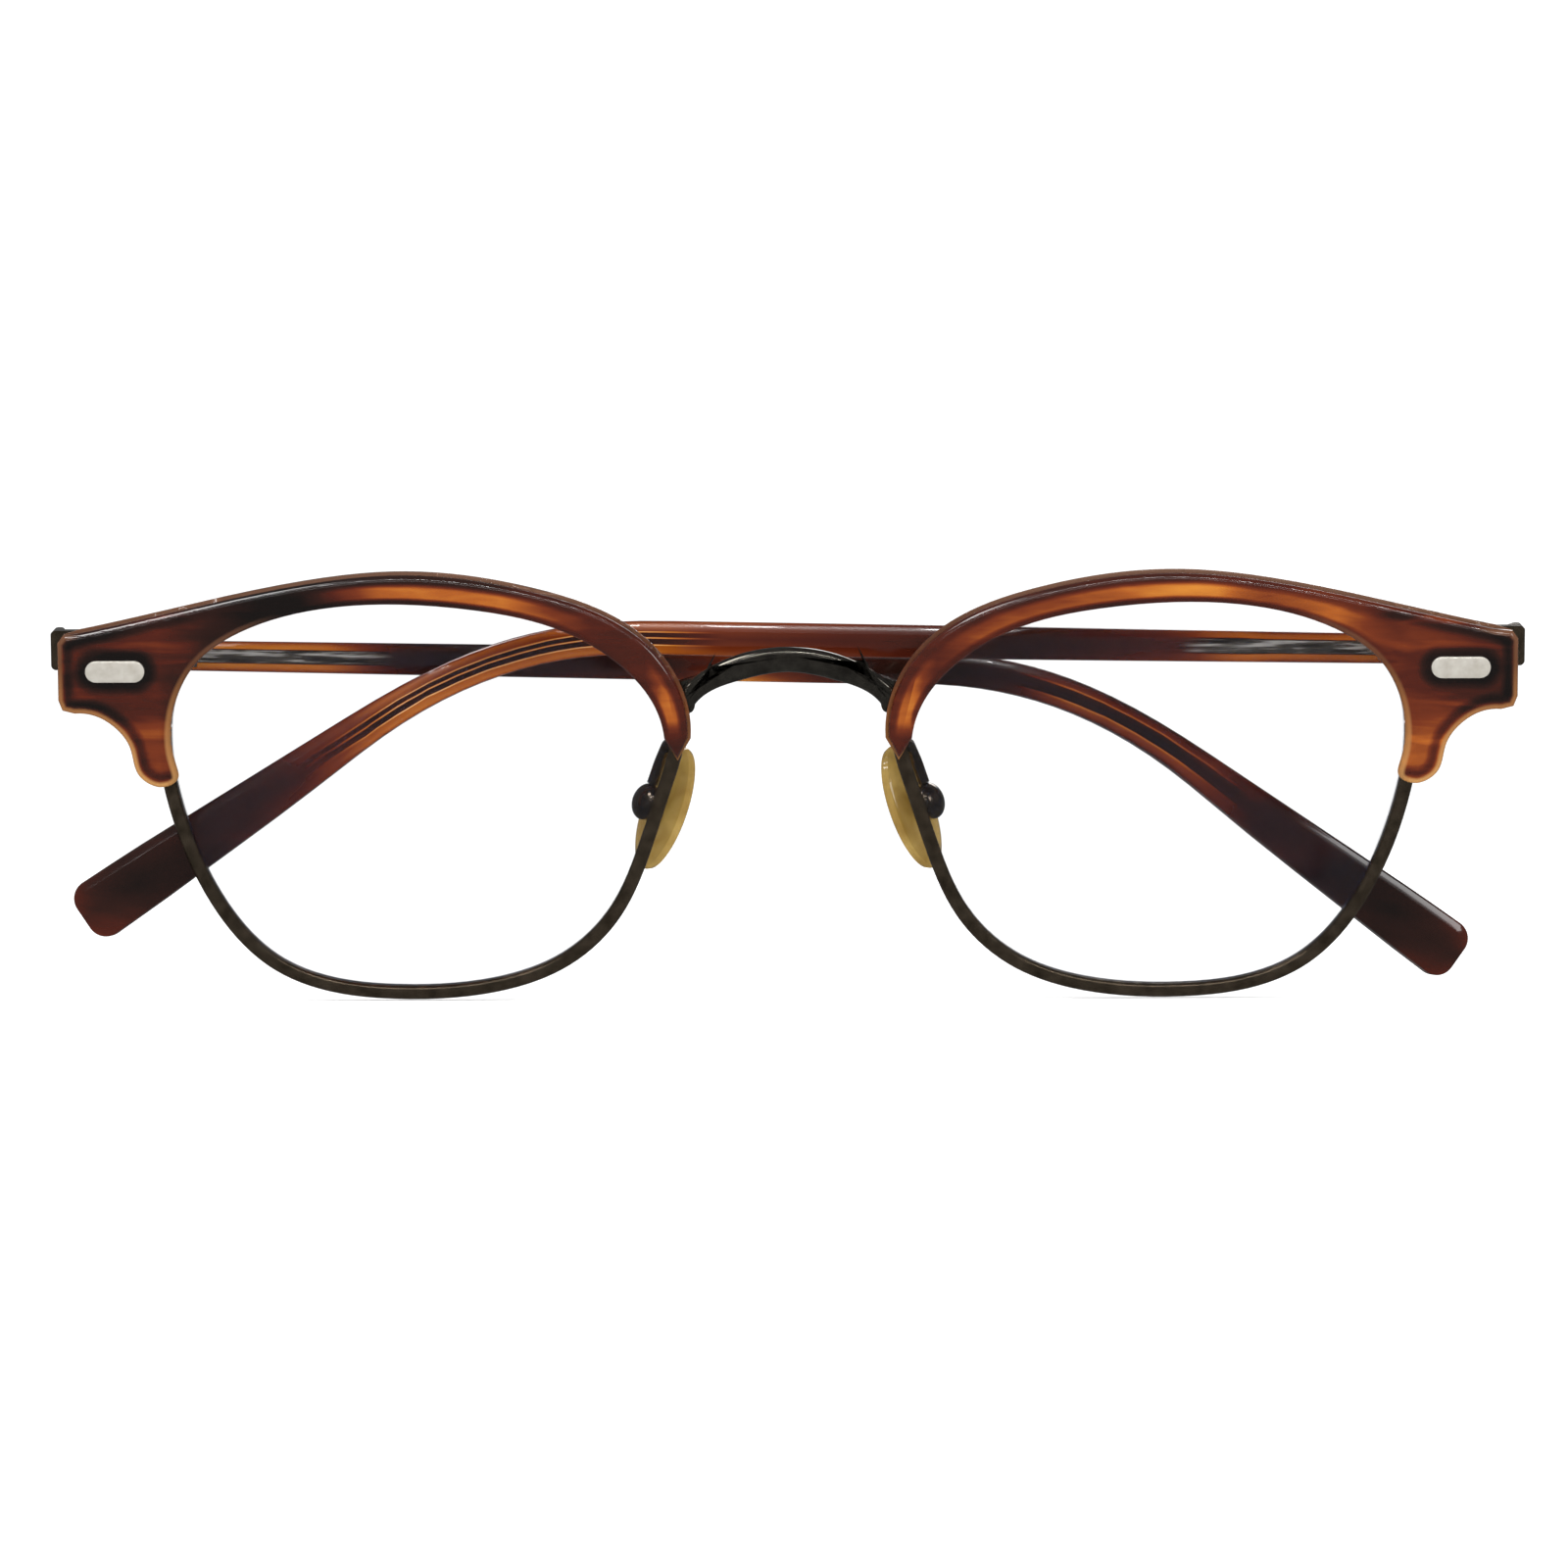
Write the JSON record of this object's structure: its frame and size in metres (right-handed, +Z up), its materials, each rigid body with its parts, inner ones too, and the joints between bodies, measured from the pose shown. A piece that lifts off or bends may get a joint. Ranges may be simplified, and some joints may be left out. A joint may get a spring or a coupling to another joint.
{
  "type": "browline eyeglasses",
  "caption": "Folded eyeglasses: full metal eyewires under acetate brow caps, arched bridge, rocking nose pads and two folding temples with bent ear ends.",
  "frame": {"origin": "bottom centre of the folded glasses: on their middle across and in depth, level with the lowest point of the rims", "axes": "+X towards the wearer's left, across the front; +Y from the front towards the wearer's face; +Z up as worn, with the front tilted forward 8 degrees"},
  "size_m": [0.1452, 0.0256, 0.0426],
  "materials": {
    "gunmetal": "dark bronze gunmetal, semi-gloss",
    "dark_metal": "dark gunmetal, semi-gloss",
    "hinge_metal": "satin nickel silver",
    "screw_steel": "satin steel",
    "polished_trim": "polished silver",
    "core_wire": "drawn nickel silver",
    "brow_acetate": "polished tortoise acetate",
    "temple_acetate": "polished tortoise acetate",
    "pad_amber": "translucent amber",
    "lens_glass": "clear polished"
  },
  "bodies": {
    "front": {"bridge": "gunmetal", "right_eyewire": "gunmetal", "right_brow": "brow_acetate", "right_trim_plate": "polished_trim", "right_lens": "lens_glass", "right_pad_arm": "gunmetal", "right_pad_box": "dark_metal", "right_pad_screw": "screw_steel", "right_end_piece": "gunmetal", "right_front_hinge": "hinge_metal", "right_hinge_screw": "screw_steel", "right_rim_barrels": "gunmetal", "right_rim_screw": "screw_steel", "right_brow_clip": "gunmetal", "right_brow_screws": "screw_steel", "left_eyewire": "gunmetal", "left_brow": "brow_acetate", "left_trim_plate": "polished_trim", "left_lens": "lens_glass", "left_pad_arm": "gunmetal", "left_pad_box": "dark_metal", "left_pad_screw": "screw_steel", "left_end_piece": "gunmetal", "left_front_hinge": "hinge_metal", "left_hinge_screw": "screw_steel", "left_rim_barrels": "gunmetal", "left_rim_screw": "screw_steel", "left_brow_clip": "gunmetal", "left_brow_screws": "screw_steel"},
    "left_temple": {"left_temple_hinge": "hinge_metal", "left_temple": "temple_acetate", "left_temple_core": "core_wire", "left_temple_rivets": "screw_steel"},
    "right_temple": {"right_temple_hinge": "hinge_metal", "right_temple": "temple_acetate", "right_temple_core": "core_wire", "right_temple_rivets": "screw_steel"},
    "left_pad": {"left_nose_pad": "pad_amber"},
    "right_pad": {"right_nose_pad": "pad_amber"}
  },
  "joints": [
    {"name": "right_temple_fold", "type": "hinge", "parent": "front", "child": "right_temple", "pos_m": [-0.0686, -0.00578, 0.0345], "axis": [0.0175, 0, 0.9998], "range_deg": [0, 85.5]},
    {"name": "left_temple_fold", "type": "hinge", "parent": "front", "child": "left_temple", "pos_m": [0.0686, -0.00578, 0.0345], "axis": [-0.0175, 0, -0.9998], "range_deg": [0, 91.5]},
    {"name": "right_pad_rock", "type": "hinge", "parent": "front", "child": "right_pad", "pos_m": [-0.01397, -0.00262, 0.01957], "axis": [-0.515, 0.8387, 0.1773], "range_deg": [-8, 8]},
    {"name": "left_pad_rock", "type": "hinge", "parent": "front", "child": "left_pad", "pos_m": [0.01397, -0.00262, 0.01957], "axis": [0.515, 0.8387, 0.1773], "range_deg": [-8, 8]}
  ]
}
